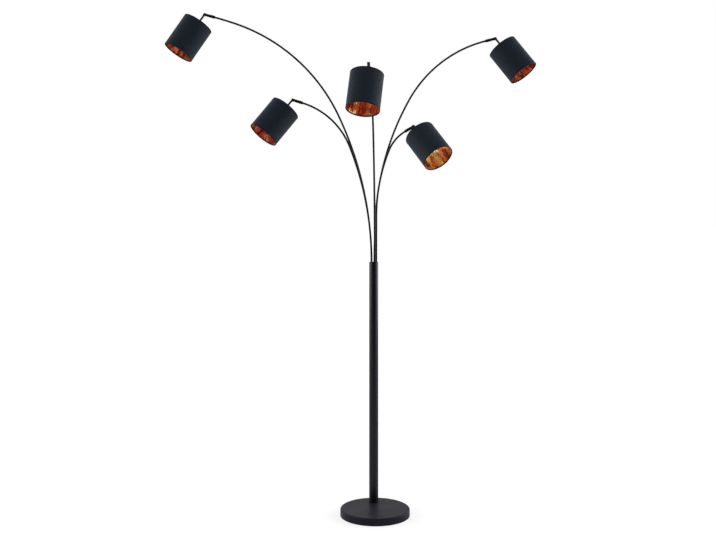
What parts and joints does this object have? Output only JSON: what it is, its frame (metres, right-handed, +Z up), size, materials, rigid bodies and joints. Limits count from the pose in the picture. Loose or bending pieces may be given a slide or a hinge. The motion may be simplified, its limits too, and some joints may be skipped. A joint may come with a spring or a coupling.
{
  "type": "tree floor lamp",
  "caption": "Tree floor lamp with a round weighted foot, a straight post and bent arms that fan out, each with a turning, tilting fabric drum shade lined in metal leaf.",
  "frame": {"origin": "centre of the foot's underside, on the floor", "axes": "+Z up along the post; -Y towards the viewer of the picture, where the foot reaches out in front of the post; +X to the viewer's right"},
  "size_m": [1.5195, 0.5965, 2.0318],
  "materials": {
    "coat_foot": "fine matt powder coat",
    "coat_post": "fine satin powder coat",
    "coat_hub": "matt powder coat",
    "coat_arm": "fine matt powder coat",
    "iron": "as cast",
    "felt": "pressed felt",
    "rubber": "moulded",
    "terminal_plastic": "moulded",
    "zinc": "zinc plated",
    "bush_brass": "turned",
    "holder_plastic": "moulded",
    "ring_wire": "coated",
    "shade_fabric": "woven",
    "leaf_lining": "crinkled metal leaf on a plastic sheet"
  },
  "bodies": {
    "stand": {"base_cover": "coat_foot", "base_weight": "iron", "base_pad": "felt", "cord_grommet": "rubber", "terminal_block": "terminal_plastic", "post_stud": "zinc", "post_washer": "zinc", "post_nut": "zinc", "post_plug": "zinc", "lower_post": "coat_post", "post_coupler": "coat_post", "upper_post": "coat_post", "arm_hub": "coat_hub", "arm_nuts": "zinc", "arm_bushes": "bush_brass", "arm_left_high": "coat_arm", "arm_left_low": "coat_arm", "arm_front": "coat_arm", "arm_right_low": "coat_arm", "arm_right_high": "coat_arm"},
    "elbow_left_high": {"swivel_sleeve_left_high": "coat_arm", "pivot_screw_left_high": "coat_arm"},
    "head_left_high": {"stem_left_high": "coat_arm", "lampholder_left_high": "holder_plastic", "shade_ring_left_high": "ring_wire", "ring_nut_left_high": "holder_plastic", "shade_left_high": "shade_fabric", "lining_left_high": "leaf_lining"},
    "elbow_left_low": {"swivel_sleeve_left_low": "coat_arm", "pivot_screw_left_low": "coat_arm"},
    "head_left_low": {"stem_left_low": "coat_arm", "lampholder_left_low": "holder_plastic", "shade_ring_left_low": "ring_wire", "ring_nut_left_low": "holder_plastic", "shade_left_low": "shade_fabric", "lining_left_low": "leaf_lining"},
    "elbow_front": {"swivel_sleeve_front": "coat_arm", "pivot_screw_front": "coat_arm"},
    "head_front": {"stem_front": "coat_arm", "lampholder_front": "holder_plastic", "shade_ring_front": "ring_wire", "ring_nut_front": "holder_plastic", "shade_front": "shade_fabric", "lining_front": "leaf_lining"},
    "elbow_right_low": {"swivel_sleeve_right_low": "coat_arm", "pivot_screw_right_low": "coat_arm"},
    "head_right_low": {"stem_right_low": "coat_arm", "lampholder_right_low": "holder_plastic", "shade_ring_right_low": "ring_wire", "ring_nut_right_low": "holder_plastic", "shade_right_low": "shade_fabric", "lining_right_low": "leaf_lining"},
    "elbow_right_high": {"swivel_sleeve_right_high": "coat_arm", "pivot_screw_right_high": "coat_arm"},
    "head_right_high": {"stem_right_high": "coat_arm", "lampholder_right_high": "holder_plastic", "shade_ring_right_high": "ring_wire", "ring_nut_right_high": "holder_plastic", "shade_right_high": "shade_fabric", "lining_right_high": "leaf_lining"}
  },
  "joints": [
    {"name": "swivel_left_high", "type": "hinge", "parent": "stand", "child": "elbow_left_high", "pos_m": [-0.69119, 0.08347, 2.02604], "axis": [-0.9659, 0, 0.2588], "range_deg": [-160.8, 139.2]},
    {"name": "tilt_left_high", "type": "hinge", "parent": "elbow_left_high", "child": "head_left_high", "pos_m": [-0.69119, 0.08347, 2.02604], "axis": [0.0485, -0.9823, 0.181], "range_deg": [-72.6, 37.4]},
    {"name": "swivel_left_low", "type": "hinge", "parent": "stand", "child": "elbow_left_low", "pos_m": [-0.33267, 0.0513, 1.67719], "axis": [-0.9551, -0.0567, 0.2907], "range_deg": [-142.9, 137.1]},
    {"name": "tilt_left_low", "type": "hinge", "parent": "elbow_left_low", "child": "head_left_low", "pos_m": [-0.33267, 0.0513, 1.67719], "axis": [0.1226, -0.9692, 0.2136], "range_deg": [-68, 42]},
    {"name": "swivel_front", "type": "hinge", "parent": "stand", "child": "elbow_front", "pos_m": [-0.04623, -0.30538, 1.78782], "axis": [-0.1243, -0.9314, 0.342], "range_deg": [-145.1, 154.9]},
    {"name": "tilt_front", "type": "hinge", "parent": "elbow_front", "child": "head_front", "pos_m": [-0.04623, -0.30538, 1.78782], "axis": [0.9837, -0.1607, -0.0803], "range_deg": [-88.4, 21.6]},
    {"name": "swivel_right_low", "type": "hinge", "parent": "stand", "child": "elbow_right_low", "pos_m": [0.15868, 0.01279, 1.56948], "axis": [0.7997, -0.3477, 0.4894], "range_deg": [-129.3, 100.7]},
    {"name": "tilt_right_low", "type": "hinge", "parent": "elbow_right_low", "child": "head_right_low", "pos_m": [0.15868, 0.01279, 1.56948], "axis": [0.5316, 0.7889, -0.3083], "range_deg": [-77.5, 32.5]},
    {"name": "swivel_right_high", "type": "hinge", "parent": "stand", "child": "elbow_right_high", "pos_m": [0.51147, 0.11587, 1.94142], "axis": [0.9662, 0.054, 0.2521], "range_deg": [-129.2, 170.8]},
    {"name": "tilt_right_high", "type": "hinge", "parent": "elbow_right_high", "child": "head_right_high", "pos_m": [0.51147, 0.11587, 1.94142], "axis": [0.0372, 0.9384, -0.3436], "range_deg": [-71.4, 38.6]}
  ]
}
